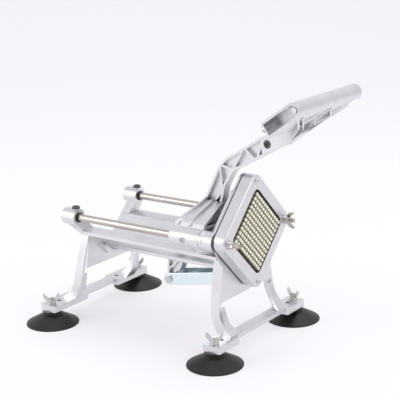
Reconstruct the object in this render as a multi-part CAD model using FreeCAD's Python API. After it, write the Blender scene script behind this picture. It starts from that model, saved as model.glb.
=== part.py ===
import FreeCAD, Part
import math
import os

V = FreeCAD.Vector
X_AXIS, Y_AXIS, Z_AXIS = V(1, 0, 0), V(0, 1, 0), V(0, 0, 1)

# Lever-operated french fry cutter on four suction feet, in millimetres.
# The origin is on the table, midway between the four feet. +X points to the blades,
# +Y to the cutter's left side and +Z up. The carriage is shown pushed fully forward.

# Clearances
RUN = 0.1                # shaft in its bush, per side
PLAY = 0.5               # beside a moving piece
REST_GAP = 0.3           # between pieces that only come near each other

# Feet and cross bars
FOOT_X = 138.0           # suction cup axes, fore and aft of the origin
FOOT_Y = 94.0            # suction cup axes, either side
CUP_R = 36.5
CUP_H = 19.0
CUP_WALL = 2.6
CUP_NECK_R = 13.5
CUP_NECK_H = 5.0
PAD_T = 9.0              # thickness of the bar's thick ends
PAD_W = 27.0
PAD_END_Y = 103.0
FRONT_PAD_INNER_Y = 58.0
REAR_PAD_INNER_Y = 32.0
BAR_T = 5.5
BAR_W = 17.0
BENCH_HOLE_R = 3.0       # screw holes for fixing to a bench
BENCH_OUTER_Y = 79.0
BENCH_INNER_Y = 46.0
STUD_R = 3.0
STUD_TOP = 9.0           # of a foot stud above its pad
WASHER_T = 1.0
WASHER_R = 6.0

# Guide rods and their bosses
ROD_R = 5.0
ROD_Y = 66.0
ROD_Z = 150.5
BOSS_R = 12.5
REAR_BOSS_X = -126.0     # rear face of the rear bosses
REAR_BOSS_L = 23.0
REAR_BOSS_R = 11.3
FRONT_BOSS_L = 17.0
COLLAR_L = 5.0
COLLAR_R = 13.0
BUMPER_R = 6.8           # rubber rings on the rods in front of the rear bosses
BUMPER_L = 1.8
CLAMP_INSET = 5.0        # of the clamp screws behind the bosses' front faces

# Square blade case, turned on its corner
CASE_SIDE = 114.0
CASE_R = 14.0            # outer corner radius
CASE_BACK_X = 127.0
CASE_DEPTH = 13.0
COVER_T = 3.0
CUT = 6.35               # width of a cut fry
CUTS = 12                # fries each way
OPENING = 84.0
OPENING_R = 9.0
CASE_WALL = 4.0
BLADE_T = 0.6
BLADE_H = 8.0
BLADE_BACK = 1.0         # from the case's back to the blades
GROOVE = 2.2             # round the case's back, between it and the frame
CASE_SCREW_Z = 67.0      # of the two cover screws from the rods' height

# Trough
WALL_T = 3.0
TROUGH_REAR_X = -117.0
TROUGH_TOP = 130.0
LEDGE_Y = 63.0
SLOT_HALF = 9.5          # half width of the lever's slot in the trough
SLOT_REAR_X = -92.0
LEDGE_REAR_X = -101.0    # the ledges start ahead of the V walls
FLANGE_T = 4.0
FLANGE_X = -100.0        # rear face of the rear flanges, against the rear web
LEDGE_T = 4.5

# Frames
WEB_T = 5.0
LEG_T = 4.0
FRONT_WEB_LOW = 68.0
REAR_WEB_LOW = 76.0
LEG_TOP_Y = 52.0
LEG_KNEE_Y = 64.5
LEG_KNEE_Z = 58.0
LEG_FOOT_Y = 66.5
LEG_TOP_Z = 125.0
GUSSET = 17.0            # how far a leg's gusset reaches in along the bar

# Carriage
SLEEVE_L = 45.0
BUSH_R = 7.0
BUSH_L = 14.0
CHEEK_T = 6.0
RIB_H = 3.2              # of the ribs that stand on the saddle
HEAD_SIDE = 78.0
HEAD_R = 9.0
HEAD_T = 6.0
STUD_GAP = 2.0           # between the block's studs, for the blades
BLOCK_BASE = 5.0
STUD_REACH = 1.5         # of the studs beyond the case's face at rest

# Lever
ARM_T = 14.0
ARM_WEB = 4.0
RIM_T = 3.2
PIVOT_R = 5.0
PIVOT_BOSS_R = 14.0
EYE_X = 7.0              # link pin at rest
EYE_Z = 66.0
EYE_HALF = 11.5          # half width of the lever's eye inside the link
PIN_R = 4.0
FOOT_R = 7.4

# Handle
GRIP_W = 150.0
GRIP_D = 56.0
GRIP_T = 20.0
GRIP_WALL = 2.6
GRIP_POCKET = 21.0
GRIP_X = 210.0           # lower rear corner of the grip
GRIP_Z = 293.0
GRIP_TILT = 35.0         # degrees above level

# Link
HOOK_REACH = 12.7        # of the front frame's hook behind its web
LINK_TILT = 10.5         # degrees above level at rest
LINK_H = 16.6
LINK_T = 2.0
HOOK_TOP = 7.5           # of the front frame's hook above the pin it holds

# Places worked out from the sizes above
PAD_Z = CUP_H
PAD_TOP = PAD_Z + PAD_T
CASE_FRONT_X = CASE_BACK_X + CASE_DEPTH
FACE_X = CASE_FRONT_X + COVER_T
WEB_X = CASE_BACK_X - WEB_T
PLATE_FRONT = CASE_BACK_X - GROOVE
FRONT_BOSS_X = CASE_BACK_X - FRONT_BOSS_L - REST_GAP
COLLAR_X = FRONT_BOSS_X - COLLAR_L
SLEEVE_FRONT = COLLAR_X - REST_GAP
SLEEVE_REAR = SLEEVE_FRONT - SLEEVE_L
PIVOT_X = (SLEEVE_FRONT + SLEEVE_REAR) / 2.0
PIVOT_Z = ROD_Z
CHEEK_Y = ARM_T / 2.0 + PLAY
ROD_TIP_X = FACE_X + 15.0
TROUGH_FRONT_X = WEB_X
SLOT_FRONT_X = TROUGH_FRONT_X - FLANGE_T
CLAMP_X = REAR_BOSS_X + REAR_BOSS_L - CLAMP_INSET
LINK_C = math.cos(math.radians(LINK_TILT))
LINK_S = math.sin(math.radians(LINK_TILT))
ANCHOR_X = WEB_X - HOOK_REACH
LINK_L = (ANCHOR_X - EYE_X) / LINK_C
ANCHOR_Z = EYE_Z + LINK_L * LINK_S
LINK_IN = EYE_HALF + PLAY
HOOK_HALF = 7.0
LINK_OUT = LINK_IN + LINK_T
HEAD_X = FRONT_BOSS_X - 3.0

parts = {}


# Basic shapes

def box(x0, x1, y0, y1, z0, z1):
    return Part.makeBox(x1 - x0, y1 - y0, z1 - z0, V(x0, y0, z0))


def rod(start, axis, radius, length):
    return Part.makeCylinder(radius, length, V(*start), axis)


def ring(start, axis, outer, inner, length):
    hole = rod(start, axis, inner, length)
    return rod(start, axis, outer, length).cut(hole)


def hexagon(start, axis, across, length):
    """A hexagonal bar with the given width across its flats."""
    points = []
    for i in range(7):
        angle = math.radians(60 * i + 30)
        reach = across / 2.0 / math.cos(math.radians(30))
        points.append(V(reach * math.cos(angle), reach * math.sin(angle), 0))
    bar = Part.Face(Part.makePolygon(points)).extrude(V(0, 0, length))
    bar.Placement = FreeCAD.Placement(V(*start), FreeCAD.Rotation(Z_AXIS, axis))
    return bar


def slab(points, thickness):
    """A closed outline pushed out along a vector."""
    wire = Part.makePolygon(points + [points[0]])
    return Part.Face(wire).extrude(thickness)


def slab_x(outline, x0, x1):
    return slab([V(x0, y, z) for y, z in outline], V(x1 - x0, 0, 0))


def slab_y(outline, y0, y1):
    return slab([V(x, y0, z) for x, z in outline], V(0, y1 - y0, 0))


def slab_z(outline, z0, z1):
    return slab([V(x, y, z0) for x, y in outline], V(0, 0, z1 - z0))


def bridge(low, high):
    """A straight-sided bar between two level rectangles (x0, x1, y0, y1, z)."""
    wires = []
    for x0, x1, y0, y1, z in (low, high):
        corners = [V(x0, y0, z), V(x1, y0, z), V(x1, y1, z), V(x0, y1, z)]
        wires.append(Part.makePolygon(corners + [corners[0]]))
    return Part.makeLoft(wires, True, True)


def mirrored(shape):
    return shape.mirror(V(0, 0, 0), Y_AXIS)


def both(shape):
    return [shape, mirrored(shape)]


def join(shapes):
    whole = shapes[0].fuse(shapes[1:])
    return whole.removeSplitter()


def rounded_square(side, radius, x0, x1):
    """A square plate across X with rounded corners, turned on its corner at the rods' height."""
    half = side / 2.0
    plate = box(x0, x1, -half, half, -half, half)
    upright = [e for e in plate.Edges
               if abs(e.Vertexes[0].X - e.Vertexes[1].X) > 0.5 * abs(x1 - x0)]
    plate = plate.makeFillet(radius, upright)
    plate.rotate(V(0, 0, 0), X_AXIS, 45)
    plate.translate(V(0, 0, ROD_Z))
    return plate


def turned(shape):
    """Turned with the blade case, about the axis through the opening's centre."""
    shape.rotate(V(0, 0, 0), X_AXIS, 45)
    shape.translate(V(0, 0, ROD_Z))
    return shape


def add(name, shape):
    parts[name] = shape


# Suction cups, studs, washers and wing nuts of the feet

def wing_nut(bore):
    """A wing nut standing on z = 0, with its thread's axis on Z."""
    hub = Part.makeCone(5.6, 4.3, 7.0)
    leaf = [(3.2, 2.0), (6.0, 2.4), (10.4, 7.4), (11.6, 12.6), (9.8, 14.2), (6.6, 10.0), (3.4, 6.8)]
    wing = slab_y(leaf, -1.3, 1.3)
    wing = wing.makeFillet(0.9, [e for e in wing.Edges if abs(e.Vertexes[0].Y - e.Vertexes[1].Y) > 2])
    other = wing.copy()
    other.rotate(V(0, 0, 0), Z_AXIS, 180)
    return join([hub, wing, other]).cut(rod((0, 0, -1), Z_AXIS, bore, 16.0))


def suction_cup():
    """A rubber cup with a thin skirt, a short neck and a moulded-in stud hole."""
    rim = 1.6
    outer = [V(0, 0, 0), V(CUP_R, 0, 0), V(CUP_R, 0, rim),
             V(CUP_NECK_R + 2.5, 0, CUP_H - CUP_NECK_H - 1.2), V(CUP_NECK_R - 1.0, 0, CUP_H - CUP_NECK_H),
             V(CUP_NECK_R - 1.0, 0, CUP_H - 2.2), V(CUP_NECK_R, 0, CUP_H - 1.6),
             V(CUP_NECK_R, 0, CUP_H - REST_GAP), V(0, 0, CUP_H - REST_GAP)]
    body = Part.Face(Part.makePolygon(outer + [outer[0]])).revolve(V(0, 0, 0), Z_AXIS, 360)
    hollow = Part.makeCone(CUP_R - 2.2, 3.0, CUP_H - CUP_NECK_H - CUP_WALL)
    return body.cut(hollow).cut(rod((0, 0, CUP_H - CUP_NECK_H - CUP_WALL), Z_AXIS, STUD_R, CUP_H))


cup_floor = CUP_H - CUP_NECK_H - CUP_WALL
feet = {"front_right": (FOOT_X, -FOOT_Y), "front_left": (FOOT_X, FOOT_Y),
        "rear_right": (-FOOT_X, -FOOT_Y), "rear_left": (-FOOT_X, FOOT_Y)}
studs = []
washers = []
nut_turn = {"front_right": 25, "front_left": -20, "rear_right": 40, "rear_left": 15}
for place, (foot_x, foot_y) in feet.items():
    cup = suction_cup()
    cup.translate(V(foot_x, foot_y, 0))
    add("suction_cup_" + place, cup)
    stud_l = PAD_TOP + STUD_TOP - cup_floor
    studs.append(rod((foot_x, foot_y, cup_floor), Z_AXIS, STUD_R, stud_l))
    washers.append(ring((foot_x, foot_y, PAD_TOP), Z_AXIS, WASHER_R, STUD_R + RUN, WASHER_T))
    nut = wing_nut(STUD_R + RUN)
    nut.rotate(V(0, 0, 0), Z_AXIS, nut_turn[place])
    nut.translate(V(foot_x, foot_y, PAD_TOP + WASHER_T))
    add("foot_wing_nut_" + place, nut)
add("foot_studs", Part.makeCompound(studs))
add("foot_washers", Part.makeCompound(washers))


# Cross bars with thick ends and screw holes

def cross_bar(centre_x, inner_y):
    bar = box(centre_x - BAR_W / 2, centre_x + BAR_W / 2, -inner_y - 2, inner_y + 2, PAD_TOP - BAR_T, PAD_TOP)
    pad = box(centre_x - PAD_W / 2, centre_x + PAD_W / 2, inner_y, PAD_END_Y, PAD_Z, PAD_TOP)
    pad = pad.makeFillet(3.0, [e for e in pad.Edges if abs(e.Vertexes[0].Z - e.Vertexes[1].Z) > 2])
    return join([bar] + both(pad))


def bar_holes(centre_x, inner_y):
    holes = [rod((centre_x, FOOT_Y, PAD_Z - 1), Z_AXIS, STUD_R + PLAY, PAD_T + 2),
             rod((centre_x, BENCH_OUTER_Y, PAD_Z - 1), Z_AXIS, BENCH_HOLE_R, PAD_T + 2),
             rod((centre_x, BENCH_INNER_Y, PAD_Z - 1), Z_AXIS, BENCH_HOLE_R, PAD_T + 2)]
    return [h for hole in holes for h in both(hole)]


def leg_y(z):
    """How far out a leg's outer face is at a height."""
    if z > LEG_KNEE_Z:
        share = (LEG_TOP_Z - z) / (LEG_TOP_Z - LEG_KNEE_Z)
        return LEG_TOP_Y + (LEG_KNEE_Y - LEG_TOP_Y) * share
    share = (LEG_KNEE_Z - z) / (LEG_KNEE_Z - PAD_TOP)
    return LEG_KNEE_Y + (LEG_FOOT_Y - LEG_KNEE_Y) * share


def leg(places, edge):
    """An L-shaped leg on the +Y side. places are (x0, x1, z) from the top down, and edge is
    0 or 1 for the side of the leg that carries the gusset towards the bar's middle."""
    pieces = []
    for (a0, a1, high), (b0, b1, low) in zip(places, places[1:]):
        pieces.append(bridge((b0, b1, leg_y(low) - LEG_T, leg_y(low), low),
                             (a0, a1, leg_y(high) - LEG_T, leg_y(high), high)))
    foot, knee = places[-1], places[-2]
    waist = places[1]
    reach = 1.0 if edge else -1.0
    steps = ((foot, knee, GUSSET, GUSSET * 0.6), (knee, waist, GUSSET * 0.6, 7.0))
    for (low_place, high_place, low_in, high_in) in steps:
        sides = []
        for place, deep in ((low_place, low_in), (high_place, high_in)):
            x = place[edge]
            y = leg_y(place[2]) - LEG_T
            sides.append((min(x, x - reach * LEG_T), max(x, x - reach * LEG_T), y - deep, y + 1.0, place[2]))
        pieces.append(bridge(sides[0], sides[1]))
    return pieces


# Front frame: bar, legs, web with the diamond seat, rod bosses and the link's hook

FRONT_LEG = [(PLATE_FRONT - 14.5, PLATE_FRONT, LEG_TOP_Z), (PLATE_FRONT - 13.5, PLATE_FRONT, LEG_KNEE_Z + 4),
             (PLATE_FRONT - 11.5, PLATE_FRONT + 1.5, 50.0), (PLATE_FRONT - 8.0, PLATE_FRONT + 7.0, 40.0),
             (PLATE_FRONT - 1.0, FOOT_X + 7.0, PAD_TOP - 1.0)]


def front_frame():
    plate = rounded_square(CASE_SIDE, CASE_R, WEB_X, PLATE_FRONT)
    seat = rounded_square(CASE_SIDE - 8.0, CASE_R - 4.0, WEB_X, CASE_BACK_X - REST_GAP)
    low_y = leg_y(FRONT_WEB_LOW) - 1
    web = slab_x([(-low_y, FRONT_WEB_LOW), (low_y, FRONT_WEB_LOW),
                  (LEG_TOP_Y - 1, 122), (1 - LEG_TOP_Y, 122)], WEB_X, PLATE_FRONT)
    pieces = [cross_bar(FOOT_X, FRONT_PAD_INNER_Y), plate, seat, web]
    for shape in leg(FRONT_LEG, 1):
        pieces.extend(both(shape))
    boss = rod((FRONT_BOSS_X, ROD_Y, ROD_Z), X_AXIS, BOSS_R, PLATE_FRONT - FRONT_BOSS_X)
    horn = slab_x([(LEG_TOP_Y - LEG_T, 112), (LEG_TOP_Y, 112), (ROD_Y + 4, ROD_Z - 8), (ROD_Y - 10, ROD_Z)],
                  WEB_X, PLATE_FRONT)
    pieces.extend(both(boss) + both(horn))
    hook_low = ANCHOR_Z - PIN_R - 0.6
    hook = slab_y([(ANCHOR_X - 9.5, hook_low), (ANCHOR_X - 9.5, ANCHOR_Z + 3.5), (ANCHOR_X - 6, ANCHOR_Z + HOOK_TOP),
                   (WEB_X + 1, ANCHOR_Z + HOOK_TOP), (WEB_X + 1, hook_low)], -HOOK_HALF, HOOK_HALF)
    pieces.append(hook)
    whole = join(pieces)
    mouth = slab_y([(ANCHOR_X - 7.4, hook_low - 1), (ANCHOR_X - PIN_R - PLAY, ANCHOR_Z),
                    (ANCHOR_X + PIN_R + PLAY, ANCHOR_Z), (ANCHOR_X + 7.4, hook_low - 1)], -12, 12)
    seat_cut = rod((ANCHOR_X, -12, ANCHOR_Z), Y_AXIS, PIN_R + PLAY, 24)
    cuts = [mouth, seat_cut, rounded_square(OPENING, OPENING_R, WEB_X - 3, CASE_BACK_X + 1)]
    bore = rod((FRONT_BOSS_X - 1, ROD_Y, ROD_Z), X_AXIS, ROD_R, CASE_BACK_X - FRONT_BOSS_X + 2)
    cuts.extend(both(bore) + bar_holes(FOOT_X, FRONT_PAD_INNER_Y))
    cuts.extend(trough_screw_holes(TROUGH_FRONT_X - FLANGE_T - 1))
    return whole.cut(cuts)


# Trough: two V walls with ledges, end flanges and the lever's slot

VEE_Z = ROD_Z - OPENING / math.sqrt(2.0)     # of the inner V's bottom, in line with the opening
SCREW_POINTS = [(40.0, 118.0), (25.0, 103.0)]
SCREW_R = 2.5


def trough_screw_holes(x):
    holes = [rod((x, y, z), X_AXIS, SCREW_R, 3 * FLANGE_T) for y, z in SCREW_POINTS]
    return [h for hole in holes for h in both(hole)]


def trough():
    """The +Y half, a casting that meets its twin along the bottom of the V."""
    slant = WALL_T * math.sqrt(2.0)
    top_y = TROUGH_TOP - VEE_Z
    under = TROUGH_TOP - LEDGE_T
    low = VEE_Z - slant
    wall = slab_x([(SLOT_HALF, VEE_Z + SLOT_HALF), (top_y, TROUGH_TOP), (top_y + slant, TROUGH_TOP),
                   (SLOT_HALF, low + SLOT_HALF)], TROUGH_REAR_X, TROUGH_FRONT_X)
    ledge = slab_x([(top_y - 1, TROUGH_TOP), (LEDGE_Y, TROUGH_TOP), (LEDGE_Y, under), (top_y, under)],
                   LEDGE_REAR_X, TROUGH_FRONT_X)
    rear_floor = slab_x([(0, VEE_Z), (SLOT_HALF, VEE_Z + SLOT_HALF), (SLOT_HALF, low + SLOT_HALF), (0, low)],
                        TROUGH_REAR_X, SLOT_REAR_X)
    start = LINK_OUT + 2.0
    end_y = LEG_TOP_Y - LEG_T - PLAY - 1.5
    flange = [(start, low + start + 1), (start, low), (end_y, 117), (end_y, under + 1), (top_y, under + 1)]
    rear_end = slab_x(flange, FLANGE_X, FLANGE_X + FLANGE_T)
    front_end = slab_x(flange, TROUGH_FRONT_X - FLANGE_T, TROUGH_FRONT_X)
    lip = slab_x([(SLOT_HALF, VEE_Z + SLOT_HALF - 1), (LINK_IN - PLAY, VEE_Z + SLOT_HALF - 1),
                  (LINK_IN - PLAY, VEE_Z + 2.5), (SLOT_HALF, VEE_Z + 2.5)], SLOT_REAR_X, SLOT_FRONT_X)
    holes = trough_screw_holes(FLANGE_X - 1) + trough_screw_holes(TROUGH_FRONT_X - FLANGE_T - 1)
    return join([wall, ledge, rear_floor, rear_end, front_end, lip]).cut(holes)


# Rear frame: bar, legs, web and the bosses that hold the rods

REAR_LEG = [(-111.5, -99.5, LEG_TOP_Z), (-119.5, -106.5, LEG_KNEE_Z + 8), (-122.5, -109.5, 50.0),
            (-128.0, -112.5, 40.0), (-143.0, -121.0, PAD_TOP - 1.0)]


def rear_frame():
    low = VEE_Z - WALL_T * math.sqrt(2.0) - REST_GAP * math.sqrt(2.0)
    top_z = TROUGH_TOP - LEDGE_T - REST_GAP
    low_y = leg_y(REAR_WEB_LOW) - 1
    web = slab_x([(-low_y, REAR_WEB_LOW), (low_y, REAR_WEB_LOW),
                  (LEG_TOP_Y - 1, top_z), (1 - LEG_TOP_Y, top_z)], FLANGE_X - WEB_T, FLANGE_X)
    pieces = [cross_bar(-FOOT_X, REAR_PAD_INNER_Y), web]
    for shape in leg(REAR_LEG, 1):
        pieces.extend(both(shape))
    boss_front = REAR_BOSS_X + REAR_BOSS_L
    boss = rod((REAR_BOSS_X, ROD_Y, ROD_Z), X_AXIS, REAR_BOSS_R, REAR_BOSS_L)
    horn = bridge((-112.0, LEDGE_REAR_X - REST_GAP, LEG_TOP_Y - LEG_T, LEG_TOP_Y + 0.5, LEG_TOP_Z - 4),
                  (REAR_BOSS_X + 4, boss_front, ROD_Y - 8, ROD_Y + 6, ROD_Z - 8))
    wing_low = TROUGH_TOP + REST_GAP
    wing = slab_x([(wing_low - VEE_Z, wing_low), (LEG_TOP_Y - 1, wing_low), (ROD_Y, ROD_Z - 8),
                   (ROD_Y - 9, VEE_Z + ROD_Y - 9)], TROUGH_REAR_X, boss_front)
    crown = rod((CLAMP_X, ROD_Y, ROD_Z + 4), Z_AXIS, CLAMP_INSET, REAR_BOSS_R - 3.5)
    pieces.extend(both(boss) + both(horn) + both(wing) + both(crown))
    bore = rod((REAR_BOSS_X - 1, ROD_Y, ROD_Z), X_AXIS, ROD_R, REAR_BOSS_L + 2)
    tapped = rod((CLAMP_X, ROD_Y, ROD_Z), Z_AXIS, 3.0, 30)
    ledge_cut = box(LEDGE_REAR_X - REST_GAP, 0, 0, LEDGE_Y + REST_GAP, TROUGH_TOP - LEDGE_T - REST_GAP,
                    TROUGH_TOP + REST_GAP)
    vee_cut = slab_x([(0, low), (wing_low - low, wing_low), (low - wing_low, wing_low)], TROUGH_REAR_X - 1, 0)
    cuts = both(bore) + both(tapped) + both(ledge_cut) + [vee_cut] + bar_holes(-FOOT_X, REAR_PAD_INNER_Y)
    cuts.extend(trough_screw_holes(FLANGE_X - 2 * FLANGE_T))
    return join(pieces).cut(cuts)


half_trough = trough()
add("trough_left", half_trough)
add("trough_right", mirrored(half_trough))
add("front_frame", front_frame())
add("rear_frame", rear_frame())


def screw(start, axis, radius, length, head_r, head_h):
    """A button-headed screw with a hexagon socket. start is under the head."""
    shank = rod(start, axis, radius, length)
    back = V(*start) - axis * head_h
    head = Part.makeCylinder(head_r, head_h, back, axis)
    edge = [e for e in head.Edges if (e.CenterOfMass - back).Length < 0.1]
    head = head.makeFillet(head_h * 0.45, edge)
    socket = hexagon(tuple(back), axis, head_r * 0.9, head_h * 0.6)
    return join([shank, head]).cut(socket)


screws = []
for y, z in SCREW_POINTS:
    rear = screw((FLANGE_X - WEB_T, y, z), X_AXIS, SCREW_R, WEB_T + FLANGE_T + 4, 4.5, 3.0)
    front = screw((TROUGH_FRONT_X - FLANGE_T, y, z), X_AXIS, SCREW_R, FLANGE_T + PLATE_FRONT - WEB_X, 4.5, 3.0)
    screws.extend(both(rear) + both(front))
add("trough_screws", Part.makeCompound(screws))

# Guide rods, their end nuts, clamp screws and stop collars

rod_tail = REAR_BOSS_X - 9.0
for name, side in (("guide_rod_right", -1), ("guide_rod_left", 1)):
    y = side * ROD_Y
    bar = rod((REAR_BOSS_X, y, ROD_Z), X_AXIS, ROD_R, CASE_BACK_X - REST_GAP - REAR_BOSS_X)
    tail = rod((rod_tail, y, ROD_Z), X_AXIS, STUD_R, REAR_BOSS_X - rod_tail + 1)
    nose = rod((CASE_BACK_X - 2, y, ROD_Z), X_AXIS, STUD_R, ROD_TIP_X - CASE_BACK_X + 2)
    add(name, join([bar, tail, nose]))

nuts, plates, clamps, collars, bumpers = [], [], [], [], []
for side in (-1, 1):
    y = side * ROD_Y
    plates.append(ring((REAR_BOSS_X - WASHER_T, y, ROD_Z), X_AXIS, 8.0, STUD_R, WASHER_T))
    nut = hexagon((REAR_BOSS_X - WASHER_T - 5.5, y, ROD_Z), X_AXIS, 10.0, 5.5)
    nuts.append(nut.cut(rod((rod_tail - 2, y, ROD_Z), X_AXIS, STUD_R, 20)))
    clamp_z = ROD_Z + ROD_R + REST_GAP
    clamp_top = ROD_Z + 4 + REAR_BOSS_R - 3.5
    clamps.append(screw((CLAMP_X, y, clamp_top), V(0, 0, -1), 3.0, clamp_top - clamp_z, 5.6, 3.4))
    bumpers.append(ring((REAR_BOSS_X + REAR_BOSS_L, y, ROD_Z), X_AXIS, BUMPER_R, ROD_R, BUMPER_L))
    collars.append(ring((COLLAR_X, y, ROD_Z), X_AXIS, COLLAR_R, ROD_R, COLLAR_L))
add("rod_nuts", Part.makeCompound(nuts))
add("rod_washers", Part.makeCompound(plates))
add("clamp_screws", Part.makeCompound(clamps))
add("stop_collars", Part.makeCompound(collars))
add("rear_bumpers", Part.makeCompound(bumpers))

# Blade holder inside a deep square case, blades and their fasteners

opening = rounded_square(OPENING, OPENING_R, CASE_BACK_X - 1, FACE_X + 1)
bar_in, bar_out = OPENING / 2.0, CASE_SIDE / 2.0 - CASE_WALL - REST_GAP
bar_half = CUT * CUTS / 2.0 + BLADE_T + 1.5
bars = []
for s in (-1, 1):
    near, far = sorted((s * bar_in, s * bar_out))
    bars.append(turned(box(CASE_BACK_X, CASE_FRONT_X - REST_GAP, near, far, -bar_half, bar_half)))
    bars.append(turned(box(CASE_BACK_X, CASE_FRONT_X - REST_GAP, -bar_half, bar_half, near, far)))
STUD_BOSS_R = 6.5
SCREW_BOSS_R = 5.0
case_bosses = [rod((CASE_BACK_X, s * ROD_Y, ROD_Z), X_AXIS, STUD_BOSS_R, CASE_DEPTH + 1) for s in (-1, 1)]
case_bosses += [rod((CASE_BACK_X, 0, ROD_Z + s * CASE_SCREW_Z), X_AXIS, SCREW_BOSS_R, CASE_DEPTH + 1)
                for s in (-1, 1)]
stud_holes = [rod((CASE_BACK_X - 1, s * ROD_Y, ROD_Z), X_AXIS, STUD_R + 0.3, CASE_DEPTH + COVER_T + 2)
              for s in (-1, 1)]
cover_holes = [rod((CASE_BACK_X - 1, 0, ROD_Z + s * CASE_SCREW_Z), X_AXIS, 2.0, CASE_DEPTH + COVER_T + 2)
               for s in (-1, 1)]

blade_mid = CASE_BACK_X + BLADE_BACK + BLADE_H / 2.0
blade_span = OPENING + 5.0
grid = CUT * CUTS
blades_a = []
blades_b = []
for i in range(CUTS + 1):
    at = -grid / 2.0 + i * CUT
    x0, x1 = blade_mid - BLADE_H / 2.0, blade_mid + BLADE_H / 2.0
    half = blade_span / 2.0
    full_a = box(x0, x1, at - BLADE_T / 2, at + BLADE_T / 2, -half, half)
    full_b = box(x0, x1, -half, half, at - BLADE_T / 2, at + BLADE_T / 2)
    blades_a.append(full_a)
    blades_b.append(full_b)
notch_a = []
notch_b = []
for i in range(CUTS + 1):
    at = -grid / 2.0 + i * CUT
    half = blade_span / 2.0
    width = BLADE_T / 2 + 0.05
    notch_a.append(box(blade_mid - 0.05, blade_mid + BLADE_H, -half - 1, half + 1, at - width, at + width))
    notch_b.append(box(blade_mid - BLADE_H, blade_mid + 0.05, at - width, at + width, -half - 1, half + 1))
set_a = turned(Part.makeCompound([b.cut(notch_a) for b in blades_a]))
set_b = turned(Part.makeCompound([b.cut(notch_b) for b in blades_b]))
blade_room = turned(Part.makeCompound(blades_a + blades_b))
boss_room = [rod((CASE_BACK_X - 1, s * ROD_Y, ROD_Z), X_AXIS, STUD_BOSS_R + REST_GAP, CASE_DEPTH + 2)
             for s in (-1, 1)]
boss_room += [rod((CASE_BACK_X - 1, 0, ROD_Z + s * CASE_SCREW_Z), X_AXIS, SCREW_BOSS_R + REST_GAP,
                  CASE_DEPTH + 2) for s in (-1, 1)]
holders = [bar.cut(boss_room + blade_room.Solids) for bar in bars]
add("blade_holder", Part.makeCompound(holders))
add("blades_across", set_a)
add("blades_down", set_b)

case = rounded_square(CASE_SIDE, CASE_R, CASE_BACK_X, FACE_X)
front_edges = [e for e in case.Edges if e.BoundBox.XMin > FACE_X - 0.01]
case = case.makeFillet(2.2, front_edges)
hollow = rounded_square(CASE_SIDE - 2 * CASE_WALL, CASE_R - CASE_WALL, CASE_BACK_X - 1, CASE_FRONT_X)
shell = case.cut(hollow)
inside = [boss.common(case) for boss in case_bosses]
add("blade_case", join([shell] + inside).cut([opening] + stud_holes + cover_holes))

cover_screws = [screw((FACE_X, 0, ROD_Z + s * CASE_SCREW_Z), V(-1, 0, 0), 2.0, CASE_DEPTH + COVER_T - 1, 3.6, 2.0)
                for s in (-1, 1)]
add("cover_screws", Part.makeCompound(cover_screws))
case_washers = [ring((FACE_X, s * ROD_Y, ROD_Z), X_AXIS, WASHER_R, STUD_R + RUN, WASHER_T) for s in (-1, 1)]
add("case_washers", Part.makeCompound(case_washers))
for name, side, angle in (("case_wing_nut_right", -1, 75), ("case_wing_nut_left", 1, 8)):
    nut = wing_nut(STUD_R + RUN)
    nut.rotate(V(0, 0, 0), Z_AXIS, angle)
    nut.rotate(V(0, 0, 0), Y_AXIS, 90)
    nut.translate(V(FACE_X + WASHER_T, side * ROD_Y, ROD_Z))
    add(name, nut)

# Carriage: two sleeves, saddle wings, centre cheeks and the neck to the pusher head

def wing_outline(thick):
    """The saddle's section across Y, a concave sweep from the sleeve up to the cheek."""
    top = [(ROD_Y - 5, ROD_Z + 11.5), (ROD_Y - 9, ROD_Z + 16.5), (50, ROD_Z + 19.5), (38, ROD_Z + 23.5),
           (24, ROD_Z + 28), (13, ROD_Z + 32), (CHEEK_Y, ROD_Z + 34.5)]
    return top + [(y, z - thick) for y, z in reversed(top)]


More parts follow.
